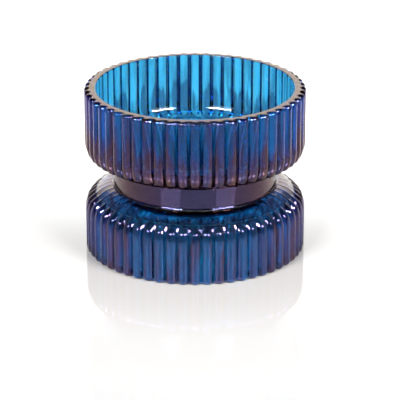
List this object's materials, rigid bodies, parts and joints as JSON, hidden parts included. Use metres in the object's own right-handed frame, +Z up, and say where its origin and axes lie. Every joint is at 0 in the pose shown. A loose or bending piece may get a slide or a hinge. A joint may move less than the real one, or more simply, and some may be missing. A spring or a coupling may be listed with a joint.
{
  "type": "candle holder",
  "caption": "Two-sided hourglass candle holder in blue lustre glass: a ribbed cup opening upward and a ribbed cup opening downward on a smooth solid neck.",
  "frame": {"origin": "on the axis, at the level of the base cup's mouth, which is the foot that the holder stands on", "axes": "+Z up along the axis towards the upper cup's mouth; a rib crest of each cup faces -Y"},
  "size_m": [0.1, 0.1, 0.0764],
  "materials": {
    "ribbed_glass": "transparent cobalt blue pressed glass with a purple-brown lustre coat outside",
    "neck_glass": "smooth cobalt blue glass under the same purple-brown lustre coat",
    "clear_bond": "clear cured adhesive"
  },
  "bodies": {
    "root": {"upper_cup": "ribbed_glass", "base_cup": "ribbed_glass", "neck_block": "neck_glass", "upper_bond": "clear_bond", "lower_bond": "clear_bond"}
  },
  "joints": []
}
